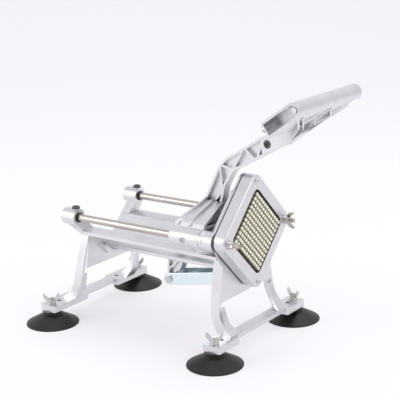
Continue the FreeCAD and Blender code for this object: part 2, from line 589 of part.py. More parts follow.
def carriage():
    pieces = []
    sleeve = rod((SLEEVE_REAR, ROD_Y, ROD_Z), X_AXIS, BOSS_R, SLEEVE_L)
    pad = slab_z([(SLEEVE_REAR, ROD_Y - 12), (SLEEVE_REAR + 30, ROD_Y - 12),
                  (SLEEVE_REAR + 30, ROD_Y - 2), (SLEEVE_REAR, ROD_Y - 2)], ROD_Z, ROD_Z + 11)
    saddle = slab_x(wing_outline(4.0), SLEEVE_REAR, SLEEVE_FRONT - 2)
    taper = slab_z([(SLEEVE_REAR - 1, ROD_Y + 1), (SLEEVE_REAR, ROD_Y - 6), (PIVOT_X - 15, CHEEK_Y - 1),
                    (PIVOT_X + 13, CHEEK_Y - 1), (SLEEVE_FRONT - 3, ROD_Y - 6), (SLEEVE_FRONT - 3, ROD_Y + 1)],
                   ROD_Z - 40, ROD_Z + 60)
    saddle = saddle.common(taper)
    rib_outline = [(y, z + RIB_H) for y, z in wing_outline(9.0 + RIB_H)]
    rear_rib = slab_x(rib_outline, SLEEVE_REAR, PIVOT_X + 12).common(
        slab_z([(SLEEVE_REAR - 1, ROD_Y), (SLEEVE_REAR + 2.6, ROD_Y), (PIVOT_X - 12, CHEEK_Y),
                (PIVOT_X - 15, CHEEK_Y)], ROD_Z - 40, ROD_Z + 60))
    top = wing_outline(4.0)[:7]
    deep = [(y, z + RIB_H) for y, z in top]
    deep += [(CHEEK_Y, ROD_Z - 6), (ROD_Y - 14, ROD_Z - 6), (ROD_Y - 8, ROD_Z)]
    mid_rib = slab_x(deep, PIVOT_X - 3.5, PIVOT_X - 0.5)
    bar = rod((PIVOT_X, CHEEK_Y, PIVOT_Z), Y_AXIS, 8.5, ROD_Y - CHEEK_Y - 6)
    cheek = slab_y([(PIVOT_X - 15, ROD_Z + 28), (PIVOT_X - 10, ROD_Z + 32), (PIVOT_X + 6, ROD_Z + 34),
                    (PIVOT_X + 9, ROD_Z + 30), (PIVOT_X + 13, ROD_Z + 12), (HEAD_X - 4, ROD_Z + 12),
                    (HEAD_X, ROD_Z + 24), (HEAD_X, ROD_Z - 24), (HEAD_X - 6, ROD_Z - 12),
                    (PIVOT_X - 2, ROD_Z - 12), (PIVOT_X - 13, ROD_Z - 4)], CHEEK_Y, CHEEK_Y + CHEEK_T)
    for shape in (sleeve, pad, saddle, rear_rib, mid_rib, bar, cheek):
        pieces.extend(both(shape))
    plate_r = rounded_square(HEAD_SIDE - 14, HEAD_R, HEAD_X - 4.0, HEAD_X)
    slot = box(HEAD_X - 6, HEAD_X + 1, -CHEEK_Y, CHEEK_Y, ROD_Z - 60, ROD_Z + 6)
    pieces.append(plate_r.cut(slot))
    whole = join(pieces)
    bore = rod((SLEEVE_REAR - 1, ROD_Y, ROD_Z), X_AXIS, BUSH_R, SLEEVE_L + 2)
    cuts = both(bore)
    cuts.append(rod((PIVOT_X, -ROD_Y + 15, PIVOT_Z), Y_AXIS, PIVOT_R, 2 * ROD_Y - 30))
    screw_bore = rod((SLEEVE_REAR + 22, ROD_Y + BOSS_R + 4, ROD_Z), V(0, -1, 0), 3.0, BOSS_R - BUSH_R + 6)
    seat = rod((SLEEVE_REAR + 22, ROD_Y + BOSS_R - 2.4, ROD_Z), Y_AXIS, 4.3, 6.0)
    cuts.extend(both(screw_bore) + both(seat))
    for y, z in HEAD_SCREWS:
        cuts.append(rod((HEAD_X - 7, y, z), X_AXIS, 2.0, 12))
    return whole.cut(cuts)


HEAD_SCREWS = [(s * 26.0, ROD_Z + t * 8.0) for s in (-1, 1) for t in (-1, 1)]
add("carriage", carriage())

bushes = []
sleeve_screws = []
for side in (-1, 1):
    for start in (SLEEVE_REAR, SLEEVE_FRONT - BUSH_L):
        bushes.append(ring((start, side * ROD_Y, ROD_Z), X_AXIS, BUSH_R, ROD_R + RUN, BUSH_L))
    depth = BOSS_R - 2.4 - BUSH_R - REST_GAP
    sleeve_screws.append(screw((SLEEVE_REAR + 22, side * (ROD_Y + BOSS_R - 2.4), ROD_Z), V(0, -side, 0),
                               3.0, depth, 4.1, 2.2))
add("sleeve_bushes", Part.makeCompound(bushes))
add("sleeve_screws", Part.makeCompound(sleeve_screws))

head = rounded_square(HEAD_SIDE, HEAD_R, HEAD_X, HEAD_X + HEAD_T)
head_holes = [rod((HEAD_X - 1, y, z), X_AXIS, 2.0, 20) for y, z in HEAD_SCREWS]
add("pusher_plate", head.cut(head_holes))

block_x = HEAD_X + HEAD_T
block_half = grid / 2.0 - STUD_GAP / 2.0
block = [box(block_x, block_x + BLOCK_BASE, -block_half, block_half, -block_half, block_half)]
stud_side = CUT - STUD_GAP
stud_back = block_x + BLOCK_BASE - 0.5
pusher_stud = box(stud_back, FACE_X + STUD_REACH, -stud_side / 2, stud_side / 2, -stud_side / 2, stud_side / 2)
pusher_stud = pusher_stud.makeChamfer(0.6, [e for e in pusher_stud.Edges if e.BoundBox.XMin > FACE_X])
for i in range(CUTS):
    for j in range(CUTS):
        y = -grid / 2.0 + (i + 0.5) * CUT
        z = -grid / 2.0 + (j + 0.5) * CUT
        stud = pusher_stud.copy()
        stud.translate(V(0, y, z))
        block.append(stud)
block_shape = block[0].fuse(block[1:])
add("pusher_block", turned(block_shape).cut([rod((block_x - 1, y, z), X_AXIS, 2.0, 4.5) for y, z in HEAD_SCREWS]))
head_screws = [screw((HEAD_X - 4.0, y, z), X_AXIS, 2.0, 4.0 + HEAD_T + 3.0, 3.6, 2.4) for y, z in HEAD_SCREWS]
add("pusher_screws", Part.makeCompound(head_screws))

# Pivot pin with its retaining clips

pin_half = CHEEK_Y + CHEEK_T + 4.0
pin_bar = rod((PIVOT_X, -pin_half, PIVOT_Z), Y_AXIS, PIVOT_R, 2 * pin_half)
add("pivot_pin", pin_bar)

# Lever arm: a flat web inside a rim, with zigzag ribs on both sides

def at_pivot(points):
    return [(PIVOT_X + x, PIVOT_Z + z) for x, z in points]


ARM_FRONT = at_pivot([(12, 4), (9, 26), (17, 56), (29, 76), (33, 79), (62, 94), (96, 113), (112, 121)])
ARM_REAR = at_pivot([(109, 142), (72, 125.5), (54, 114), (22, 95.5), (12, 87), (6, 79), (-15, 37), (-25, 17)])
CRANK_OUT = at_pivot([(-42, 9), (-63, -1), (-76, -17), (-80, -40)])
CRANK_IN = at_pivot([(-57, -64), (-55, -50), (-52, -34), (-46, -22), (-34, -14), (-12, -12), (4, -12)])


def lever_outline():
    eye = [(EYE_X - FOOT_R, EYE_Z + 4), (EYE_X - FOOT_R, EYE_Z), (EYE_X - 5, EYE_Z - 5.4),
           (EYE_X, EYE_Z - FOOT_R), (EYE_X + 5, EYE_Z - 5.4), (EYE_X + FOOT_R, EYE_Z), (EYE_X + FOOT_R, EYE_Z + 4)]
    return ARM_FRONT + ARM_REAR + CRANK_OUT + eye + CRANK_IN


def inset(points, width):
    """The outline moved inwards by the rim's thickness."""
    wire = Part.makePolygon([V(x, 0, z) for x, z in points + [points[0]]])
    return wire.makeOffset2D(-width, 2, False, False, False)


def strip(a, b, width, y0, y1):
    """A rib of the given width from point a to point b in the XZ plane."""
    (ax, az), (bx, bz) = a, b
    length = math.hypot(bx - ax, bz - az)
    ux, uz = (bx - ax) / length, (bz - az) / length
    nx, nz = -uz * width / 2.0, ux * width / 2.0
    outline = [(ax + nx, az + nz), (bx + nx, bz + nz), (bx - nx, bz - nz), (ax - nx, az - nz)]
    return slab_y(outline, y0, y1)


def lever_arm():
    half = ARM_T / 2.0
    outline = lever_outline()
    solid = slab_y(outline, -half, half)
    inner_wire = inset(outline, RIM_T)
    pocket_face = Part.Face(inner_wire)
    pocket = pocket_face.extrude(V(0, half, 0))
    pocket.translate(V(0, ARM_WEB / 2.0, 0))
    ribs = []
    zigzag = at_pivot([(-12, 20), (13, 50), (9, 84), (30, 79), (47, 110), (66, 94), (76, 127)])
    for a, b in zip(zigzag, zigzag[1:]):
        ribs.append(strip(a, b, 2.8, 0, half))
    lower = at_pivot([(-14, -10), (-40, 6), (-48, -20), (-77, -34), (-55, -50), (-79, -72)])
    for a, b in zip(lower, lower[1:]):
        ribs.append(strip(a, b, 2.6, 0, half))
    ribs.append(rod((PIVOT_X, 0, PIVOT_Z), Y_AXIS, PIVOT_BOSS_R, half))
    ribs.append(rod((EYE_X, 0, EYE_Z), Y_AXIS, PIN_R + 3.2, half))
    ribs.append(rod((HANDLE_BOLT[0], 0, HANDLE_BOLT[1]), Y_AXIS, 7.0, half))
    ribs.append(slab_y(at_pivot([(84, 100), (116, 118), (112, 146), (86, 133)]), 0, half))
    pocket = pocket.cut(ribs)
    solid = solid.cut(both(pocket))
    round_boss = rod((PIVOT_X, -half, PIVOT_Z), Y_AXIS, PIVOT_BOSS_R, ARM_T)
    eye = rod((EYE_X, -EYE_HALF, EYE_Z), Y_AXIS, FOOT_R, 2 * EYE_HALF)
    solid = join([solid, round_boss, eye])
    cuts = [rod((PIVOT_X, -half - 1, PIVOT_Z), Y_AXIS, PIVOT_R + 2.0, ARM_T + 2),
            rod((EYE_X, -EYE_HALF - 1, EYE_Z), Y_AXIS, PIN_R + RUN, 2 * EYE_HALF + 2),
            rod((HANDLE_BOLT[0], -half - 1, HANDLE_BOLT[1]), Y_AXIS, 3.0, ARM_T + 2)]
    return solid.cut(cuts)


HANDLE_BOLT = at_pivot([(85, 119)])[0]
add("lever_arm", lever_arm())
add("lever_bush", ring((PIVOT_X, -ARM_T / 2.0, PIVOT_Z), Y_AXIS, PIVOT_R + 2.0, PIVOT_R + RUN, ARM_T))

# Handle: a wide hollow grip on a ribbed fan, bolted to the arm's end

def in_handle(shape):
    """From the grip's own frame (u along the tilt, Y, w square to it) to its place."""
    shape.rotate(V(0, 0, 0), Y_AXIS, -GRIP_TILT)
    shape.translate(V(GRIP_X, 0, GRIP_Z))
    return shape


def grip_section(offset, y0, y1):
    """The grip's D section, a flat back with a round nose, drawn in by an offset."""
    low, high = offset, GRIP_T - offset
    radius = (high - low) / 2.0
    nose = GRIP_D - GRIP_T / 2.0
    back = offset
    points = [V(back, y0, low), V(nose, y0, low), V(nose, y0, high), V(back, y0, high)]
    arc = Part.Arc(points[1], V(nose + radius, y0, GRIP_T / 2.0), points[2]).toShape()
    edges = [Part.makeLine(points[0], points[1]), arc, Part.makeLine(points[2], points[3]),
             Part.makeLine(points[3], points[0])]
    return Part.Face(Part.Wire(edges)).extrude(V(0, y1 - y0, 0))


def rib_between(a, b, width, low, high):
    """A straight upright rib in the grip's frame, from a to b given as (u, y)."""
    length = math.hypot(b[0] - a[0], b[1] - a[1])
    across_u = -(b[1] - a[1]) / length * width / 2.0
    across_y = (b[0] - a[0]) / length * width / 2.0
    outline = [(a[0] + across_u, a[1] + across_y), (b[0] + across_u, b[1] + across_y),
               (b[0] - across_u, b[1] - across_y), (a[0] - across_u, a[1] - across_y)]
    return slab_z(outline, low, high)


FAN_LOW = -8.0
FAN_ROOT_U = -34.0
FAN_TIP_U = GRIP_D - 12.0
FORK_T = 4.5
BOLT_HEAD_H = 3.0
GRIP_SCREW_Y = GRIP_W / 2.0 - 7.5
GRIP_SCREW_W = 13.0
GRIP_SCREW_H = 6.0


def handle():
    half = GRIP_W / 2.0
    grip = grip_section(0.0, -half, half)
    ends = [e for e in grip.Edges if abs(abs(e.CenterOfMass.y) - half) < 0.01]
    grip = grip.makeChamfer(1.2, ends)
    end_pocket = grip_section(GRIP_WALL, half - GRIP_POCKET, half + 1)
    nose_boss = rod((GRIP_D - 8.5, half - GRIP_POCKET - 1, GRIP_T / 2.0), Y_AXIS, 3.4, GRIP_POCKET - 1.0)
    side = [(FAN_ROOT_U, 9.5), (-10.0, 15.0), (FAN_TIP_U * 0.3, 0.4 * half), (FAN_TIP_U * 0.7, 0.7 * half),
            (FAN_TIP_U, half - 3.0)]
    plate = slab_z([(FAN_ROOT_U, 0)] + side[:2] + [(2.0, 25.0), (2.0, 0)], -1.0, 3.0)
    pieces = []
    for a, b in zip(side, side[1:]):
        pieces.extend(both(rib_between(a, b, 3.0, FAN_LOW, 2.0)))
        pieces.extend(both(rod((b[0], b[1], FAN_LOW), Z_AXIS, 1.5, 2.0 - FAN_LOW)))
    for a, b in (((8.0, 13.0), (FAN_TIP_U, 0.78 * half)), ((20.0, 0.5 * half), (FAN_TIP_U, 6.0))):
        pieces.extend(both(rib_between(a, b, 2.4, FAN_LOW + 1.0, 2.0)))
    pieces.append(rib_between((FAN_ROOT_U + 10, 0), (FAN_TIP_U, 0), 2.4, FAN_LOW + 1.0, 2.0))
    taper = slab_y([(FAN_ROOT_U - 1, FAN_LOW - 1), (GRIP_D, FAN_LOW - 1), (GRIP_D, 0.5), (FAN_TIP_U, -1.0),
                    (FAN_ROOT_U * 0.5, FAN_LOW), (FAN_ROOT_U - 1, FAN_LOW)], -half, half)
    fan = join(both(plate) + pieces).cut(taper)
    root = box(-28.0, 3.0, -ARM_T / 2 - FORK_T, ARM_T / 2 + FORK_T, FAN_LOW, 9.0)
    whole = join([grip, fan, root])
    whole = whole.cut(both(end_pocket))
    whole = join([whole] + both(nose_boss))
    whole = whole.cut(both(rod((-1.0, GRIP_SCREW_Y, GRIP_SCREW_W), X_AXIS, 2.5, GRIP_WALL + 2.0)))
    whole = in_handle(whole)
    cheek = slab_y(at_pivot([(78, 104), (96, 113), (112, 121), (124, 132), (118, 144), (109, 142), (82, 130),
                             (75, 121)]), ARM_T / 2.0, ARM_T / 2.0 + FORK_T)
    whole = join([whole] + both(cheek))
    arm_slot = slab_y(lever_outline(), -ARM_T / 2.0, ARM_T / 2.0)
    x, z = HANDLE_BOLT
    side_y = ARM_T / 2.0 + FORK_T
    room = [arm_slot, rod((x, -20, z), Y_AXIS, 3.0, 40), rod((x, -side_y - 12, z), Y_AXIS, 5.4, BOLT_HEAD_H + 12),
            rod((x, side_y, z), Y_AXIS, 6.0, 12)]
    return whole.cut(room)


add("handle", handle())

bolt_x, bolt_z = HANDLE_BOLT
fork_y = ARM_T / 2.0 + FORK_T
head_y = -fork_y + BOLT_HEAD_H
bolt = screw((bolt_x, head_y, bolt_z), Y_AXIS, 3.0, 2 * fork_y - BOLT_HEAD_H + 6.0, 5.2, BOLT_HEAD_H)
add("handle_bolt", bolt)
nut = hexagon((bolt_x, fork_y, bolt_z), Y_AXIS, 9.0, 4.5)
add("handle_nut", nut.cut(rod((bolt_x, 0, bolt_z), Y_AXIS, 3.0, 40)))
grip_screws = [in_handle(screw((0, s * GRIP_SCREW_Y, GRIP_SCREW_W), X_AXIS, 2.5, 6.0, 4.6, GRIP_SCREW_H))
               for s in (-1, 1)]
add("grip_screws", Part.makeCompound(grip_screws))

# Link: a pressed channel between the lever's eye and the front frame's hook

def in_link(shape):
    shape.rotate(V(0, 0, 0), Y_AXIS, -LINK_TILT)
    shape.translate(V(EYE_X, 0, EYE_Z))
    return shape


def link():
    half = LINK_H / 2.0
    cheek = box(0, LINK_L, LINK_IN, LINK_OUT, -half, half)
    ends = [rod((0, LINK_IN, 0), Y_AXIS, half, LINK_T), rod((LINK_L, LINK_IN, 0), Y_AXIS, half, LINK_T)]
    floor = box(10, LINK_L - 10, -LINK_OUT, LINK_OUT, -half, -half + LINK_T)
    pieces = [floor]
    for shape in [cheek] + ends:
        pieces.extend(both(shape))
    holes = [rod((0, -20, 0), Y_AXIS, PIN_R, 40), rod((LINK_L, -20, 0), Y_AXIS, PIN_R, 40)]
    return in_link(join(pieces).cut(holes))


def link_pin(at):
    """A headed pin with a clip groove's washer on its far end."""
    shank = rod((at, -LINK_OUT - 2.0, 0), Y_AXIS, PIN_R, 2 * LINK_OUT + 5.0)
    flat = rod((at, -LINK_OUT - 2.0, 0), Y_AXIS, PIN_R + 1.4, 2.0)
    return in_link(join([shank, flat]))


add("link", link())
add("link_rear_pin", link_pin(0))
add("link_front_pin", link_pin(LINK_L))
clips = [in_link(ring((at, LINK_OUT, 0), Y_AXIS, PIN_R + 2.0, PIN_R, 1.2)) for at in (0, LINK_L)]
add("link_clips", Part.makeCompound(clips))

# Everything is moved so that the middle of the part's box is over the origin

ends = [shape.BoundBox for shape in parts.values()]
shift = -(min(b.XMin for b in ends) + max(b.XMax for b in ends)) / 2.0
os.makedirs("parts", exist_ok=True)
for name, shape in parts.items():
    placed = shape.copy()
    placed.translate(V(shift, 0, 0))
    placed.exportStep("parts/" + name + ".step")
print(len(parts), "nodes, shifted by", round(shift, 4), "mm along X")
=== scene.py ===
import math

import bmesh
import bpy
from mathutils import Matrix, Vector


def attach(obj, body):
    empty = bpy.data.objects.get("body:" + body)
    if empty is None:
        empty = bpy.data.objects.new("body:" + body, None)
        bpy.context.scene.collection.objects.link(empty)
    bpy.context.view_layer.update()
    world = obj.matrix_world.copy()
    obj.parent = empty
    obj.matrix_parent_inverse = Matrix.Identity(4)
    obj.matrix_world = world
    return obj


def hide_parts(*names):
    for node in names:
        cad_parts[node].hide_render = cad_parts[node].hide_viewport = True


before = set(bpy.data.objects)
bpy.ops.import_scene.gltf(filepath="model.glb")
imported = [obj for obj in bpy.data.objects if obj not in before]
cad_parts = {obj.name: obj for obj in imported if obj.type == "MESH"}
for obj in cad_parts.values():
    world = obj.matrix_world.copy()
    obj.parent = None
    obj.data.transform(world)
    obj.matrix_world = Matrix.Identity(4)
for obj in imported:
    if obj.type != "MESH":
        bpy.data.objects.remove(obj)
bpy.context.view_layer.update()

# Front frame
# Gravity cast aluminium, tumbled to a bright satin with soft edges. Legs, cross bar, web and
# rod bosses are one casting, and its diamond plate carries the blade case.


def cast_aluminium(name, color, roughness, grain):
    """Bright satin casting: faint clouding, tumbled grain and uneven gloss."""
    finish = bpy.data.materials.new(name)
    finish.use_nodes = True
    nodes = finish.node_tree.nodes
    links = finish.node_tree.links
    shader = nodes["Principled BSDF"]
    shader.inputs["Metallic"].default_value = 1.0
    place = nodes.new("ShaderNodeTexCoord")
    cloud = nodes.new("ShaderNodeTexNoise")
    cloud.inputs["Scale"].default_value = 38.0
    cloud.inputs["Detail"].default_value = 5.0
    links.new(place.outputs["Object"], cloud.inputs["Vector"])
    tone = nodes.new("ShaderNodeValToRGB")
    tone.color_ramp.elements[0].position = 0.32
    tone.color_ramp.elements[0].color = [c * 0.93 for c in color[:3]] + [1.0]
    tone.color_ramp.elements[1].position = 0.68
    tone.color_ramp.elements[1].color = color
    links.new(cloud.outputs["Fac"], tone.inputs["Fac"])
    links.new(tone.outputs["Color"], shader.inputs["Base Color"])
    gloss = nodes.new("ShaderNodeMapRange")
    gloss.inputs["To Min"].default_value = roughness - 0.06
    gloss.inputs["To Max"].default_value = roughness + 0.08
    links.new(cloud.outputs["Fac"], gloss.inputs["Value"])
    links.new(gloss.outputs["Result"], shader.inputs["Roughness"])
    skin = nodes.new("ShaderNodeTexNoise")
    skin.inputs["Scale"].default_value = 1400.0
    skin.inputs["Detail"].default_value = 3.0
    links.new(place.outputs["Object"], skin.inputs["Vector"])
    swell = nodes.new("ShaderNodeTexNoise")
    swell.inputs["Scale"].default_value = 90.0
    links.new(place.outputs["Object"], swell.inputs["Vector"])
    fine = nodes.new("ShaderNodeBump")
    fine.inputs["Strength"].default_value = grain
    fine.inputs["Distance"].default_value = 0.0001
    links.new(skin.outputs["Fac"], fine.inputs["Height"])
    soft = nodes.new("ShaderNodeBump")
    soft.inputs["Strength"].default_value = 0.25
    soft.inputs["Distance"].default_value = 0.0006
    links.new(swell.outputs["Fac"], soft.inputs["Height"])
    links.new(fine.outputs["Normal"], soft.inputs["Normal"])
    links.new(soft.outputs["Normal"], shader.inputs["Normal"])
    return finish


def softened(node_name, piece_name, body, edge, finish, steps=2):
    """A fixed node's shape with its corners rounded as tumbling leaves them."""
    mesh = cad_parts[node_name].data.copy()
    mesh.name = piece_name
    work = bmesh.new()
    work.from_mesh(mesh)
    bmesh.ops.remove_doubles(work, verts=work.verts, dist=0.00001)
    bmesh.ops.dissolve_limit(work, angle_limit=math.radians(0.6), verts=work.verts, edges=work.edges)
    work.to_mesh(mesh)
    work.free()
    if "custom_normal" in mesh.attributes:
        mesh.attributes.remove(mesh.attributes["custom_normal"])
    mesh.materials.clear()
    mesh.materials.append(finish)
    for face in mesh.polygons:
        face.use_smooth = True
    piece = bpy.data.objects.new(piece_name, mesh)
    bpy.context.scene.collection.objects.link(piece)
    round_over = piece.modifiers.new("rounded edges", "BEVEL")
    round_over.width = edge
    round_over.segments = steps
    round_over.limit_method = "ANGLE"
    round_over.angle_limit = math.radians(28)
    round_over.use_clamp_overlap = True
    round_over.harden_normals = True
    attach(piece, body)
    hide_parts(node_name)
    return piece


bright_casting = cast_aluminium("bright casting", (0.75, 0.745, 0.77, 1.0), 0.33, 0.5)
softened("front_frame", "front_frame_casting", "frame", 0.0009, bright_casting)

# Rear frame
# The same cast and tumbled aluminium. Its legs sweep back to the cross bar and its bosses
# hold the rods' rear ends.

softened("rear_frame", "rear_frame_casting", "frame", 0.0009, bright_casting)

# Trough halves
# Two mirrored castings that meet along the bottom of the V, each with a flat ledge. Flanges
# at both ends are screwed to the frames.

for node_name in ("trough_right", "trough_left"):
    softened(node_name, node_name + "_casting", "frame", 0.0008, bright_casting)

# Guide rods and what holds them
# Two ground stainless rods, clamped in the rear bosses and nutted behind them. Their front
# ends are threaded for the wing nuts, and a ring on each stops the carriage.


def turned_steel(name, color, roughness, streak):
    """Ground or plated steel with fine turning lines round the bar."""
    finish = bpy.data.materials.new(name)
    finish.use_nodes = True
    nodes = finish.node_tree.nodes
    links = finish.node_tree.links
    shader = nodes["Principled BSDF"]
    shader.inputs["Metallic"].default_value = 1.0
    place = nodes.new("ShaderNodeTexCoord")
    stretch = nodes.new("ShaderNodeMapping")
    stretch.inputs["Scale"].default_value = (1.0, 0.08, 0.08)
    links.new(place.outputs["Object"], stretch.inputs["Vector"])
    lines = nodes.new("ShaderNodeTexNoise")
    lines.inputs["Scale"].default_value = 2600.0
    lines.inputs["Detail"].default_value = 3.0
    links.new(stretch.outputs["Vector"], lines.inputs["Vector"])
    haze = nodes.new("ShaderNodeTexNoise")
    haze.inputs["Scale"].default_value = 60.0
    links.new(place.outputs["Object"], haze.inputs["Vector"])
    tone = nodes.new("ShaderNodeValToRGB")
    tone.color_ramp.elements[0].color = [c * 0.9 for c in color[:3]] + [1.0]
    tone.color_ramp.elements[1].color = color
    links.new(haze.outputs["Fac"], tone.inputs["Fac"])
    links.new(tone.outputs["Color"], shader.inputs["Base Color"])
    gloss = nodes.new("ShaderNodeMapRange")
    gloss.inputs["To Min"].default_value = roughness * 0.8
    gloss.inputs["To Max"].default_value = roughness * 1.3
    links.new(lines.outputs["Fac"], gloss.inputs["Value"])
    links.new(gloss.outputs["Result"], shader.inputs["Roughness"])
    groove = nodes.new("ShaderNodeBump")
    groove.inputs["Strength"].default_value = streak
    groove.inputs["Distance"].default_value = 0.00004
    links.new(lines.outputs["Fac"], groove.inputs["Height"])
    links.new(groove.outputs["Normal"], shader.inputs["Normal"])
    return finish


rod_steel = turned_steel("ground rod", (0.56, 0.52, 0.48, 1.0), 0.34, 0.3)
nickel = turned_steel("nickel plate", (0.62, 0.61, 0.60, 1.0), 0.2, 0.15)
# Near-black steel for the clamp screws, the handle bolt and the link clips; on the clips it is painted shade.
dark_steel = turned_steel("blackened screws", (0.13, 0.12, 0.12, 1.0), 0.35, 0.2)
for node_name in ("guide_rod_right", "guide_rod_left"):
    softened(node_name, node_name + "_ground", "frame", 0.0006, rod_steel)
for node_name in ("rod_nuts", "rod_washers", "trough_screws"):
    softened(node_name, node_name + "_plated", "frame", 0.0005, nickel)
softened("stop_collars", "stop_collars_turned", "frame", 0.0011, bright_casting, 3)
softened("clamp_screws", "clamp_screws_dark", "frame", 0.0004, dark_steel)

# Blade case
# A deep square cast pan on its corner covers the four slotted bars that hold two notched
# blade sets. Wing nuts on the rods' ends clamp it to the front frame.

case_finish = cast_aluminium("blade case casting", (0.73, 0.725, 0.75, 1.0), 0.36, 0.4)
blade_steel = turned_steel("blade steel", (0.34, 0.335, 0.33, 1.0), 0.3, 0.3)
softened("blade_case", "blade_case_casting", "frame", 0.0007, case_finish, 3)
softened("blade_holder", "blade_holder_bars", "frame", 0.0005, case_finish, 2)
for node_name in ("blades_across", "blades_down"):
    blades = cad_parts[node_name]
    blades.data.materials.clear()
    blades.data.materials.append(blade_steel)
softened("cover_screws", "cover_screws_plated", "frame", 0.0003, bright_casting)
softened("case_washers", "case_washers_plated", "frame", 0.0003, nickel)
for side in ("right", "left"):
    softened("case_wing_nut_" + side, "case_wings_" + side, "case_nut_" + side, 0.0006, nickel)

# Carriage
# One casting: two sleeves on the rods, saddle wings up to the cheeks, and the neck that
# carries the pusher. Brass bushes and the pivot pin sit inside it.

brass = turned_steel("bush brass", (0.72, 0.56, 0.30, 1.0), 0.3, 0.2)
softened("carriage", "carriage_casting", "carriage", 0.0009, bright_casting)
softened("pusher_plate", "pusher_plate_casting", "carriage", 0.0012, case_finish, 3)
for node_name in ("sleeve_screws", "pusher_screws"):
    softened(node_name, node_name + "_head", "carriage", 0.0003, nickel)
softened("pivot_pin", "pivot_pin_ground", "carriage", 0.0006, rod_steel)
for node_name in ("sleeve_bushes", "lever_bush"):
    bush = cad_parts[node_name]
    bush.data.materials.clear()
    bush.data.materials.append(brass)

# Pusher block
# Moulded cream plastic with a square stud for each fry. The studs' tips are chamfered to
# enter the blades.

cream = bpy.data.materials.new("cream plastic")
cream.use_nodes = True
cream_shader = cream.node_tree.nodes["Principled BSDF"]
cream_shader.inputs["Roughness"].default_value = 0.42
cream_shader.inputs["Subsurface Weight"].default_value = 0.08
cream_place = cream.node_tree.nodes.new("ShaderNodeTexCoord")
cream_cloud = cream.node_tree.nodes.new("ShaderNodeTexNoise")
cream_cloud.inputs["Scale"].default_value = 120.0
cream_tone = cream.node_tree.nodes.new("ShaderNodeValToRGB")
cream_tone.color_ramp.elements[0].color = (0.90, 0.85, 0.67, 1.0)
cream_tone.color_ramp.elements[1].color = (0.96, 0.92, 0.77, 1.0)
cream.node_tree.links.new(cream_place.outputs["Object"], cream_cloud.inputs["Vector"])
cream.node_tree.links.new(cream_cloud.outputs["Fac"], cream_tone.inputs["Fac"])
# Painted shade: everything more than about 2 mm behind the stud tips, base plate included, is mixed 80% towards
# dark brown. A 2 mm ramp leads up to full cream at the tips, so the gaps between the studs read as shaded.
stud_depth = cream.node_tree.nodes.new("ShaderNodeSeparateXYZ")
stud_gap_painted_shade = cream.node_tree.nodes.new("ShaderNodeMapRange")
stud_gap_painted_shade.inputs["From Min"].default_value = 0.1034
stud_gap_painted_shade.inputs["From Max"].default_value = 0.1054
stud_gap_painted_shade.inputs["To Min"].default_value = 0.20
cream_with_painted_gap_shade = cream.node_tree.nodes.new("ShaderNodeMix")
cream_with_painted_gap_shade.data_type = "RGBA"
cream_with_painted_gap_shade.inputs["A"].default_value = (0.08, 0.065, 0.04, 1.0)
cream.node_tree.links.new(cream_place.outputs["Object"], stud_depth.inputs["Vector"])
cream.node_tree.links.new(stud_depth.outputs["X"], stud_gap_painted_shade.inputs["Value"])
cream.node_tree.links.new(stud_gap_painted_shade.outputs["Result"], cream_with_painted_gap_shade.inputs["Factor"])
cream.node_tree.links.new(cream_tone.outputs["Color"], cream_with_painted_gap_shade.inputs["B"])
cream.node_tree.links.new(cream_with_painted_gap_shade.outputs["Result"], cream_shader.inputs["Base Color"])


def repeated(name, seed_mesh, counts, steps, finish):
    """A mesh repeated along one or two steps with Geometry Nodes, as a plain mesh."""
    group = bpy.data.node_groups.new(name + " repeat", "GeometryNodeTree")
    sockets = group.interface
    sockets.new_socket("Geometry", in_out="INPUT", socket_type="NodeSocketGeometry")
    asked = []
    for label in ("first", "second"):
        asked.append(sockets.new_socket("Count " + label, in_out="INPUT", socket_type="NodeSocketInt"))
        asked.append(sockets.new_socket("Step " + label, in_out="INPUT", socket_type="NodeSocketVector"))
    sockets.new_socket("Geometry", in_out="OUTPUT", socket_type="NodeSocketGeometry")
    taken = group.nodes.new("NodeGroupInput")
    given = group.nodes.new("NodeGroupOutput")
    current = taken.outputs["Geometry"]
    for label in ("first", "second"):
        line = group.nodes.new("GeometryNodeMeshLine")
        line.mode = "OFFSET"
        group.links.new(taken.outputs["Count " + label], line.inputs["Count"])
        group.links.new(taken.outputs["Step " + label], line.inputs["Offset"])
        copies = group.nodes.new("GeometryNodeInstanceOnPoints")
        group.links.new(line.outputs["Mesh"], copies.inputs["Points"])
        group.links.new(current, copies.inputs["Instance"])
        real = group.nodes.new("GeometryNodeRealizeInstances")
        group.links.new(copies.outputs["Instances"], real.inputs["Geometry"])
        current = real.outputs["Geometry"]
    coat = group.nodes.new("GeometryNodeSetMaterial")
    coat.inputs["Material"].default_value = finish
    group.links.new(current, coat.inputs["Geometry"])
    group.links.new(coat.outputs["Geometry"], given.inputs["Geometry"])
    seed = bpy.data.objects.new(name + " seed", seed_mesh)
    bpy.context.scene.collection.objects.link(seed)
    maker = seed.modifiers.new("repeat", "NODES")
    maker.node_group = group
    for socket, value in zip(asked, (counts[0], steps[0], counts[1], steps[1])):
        maker[socket.identifier] = value
    ready = seed.evaluated_get(bpy.context.evaluated_depsgraph_get())
    made = bpy.data.meshes.new_from_object(ready)
    seed.modifiers.clear()
    bpy.data.objects.remove(seed)
    made.name = name
    return made


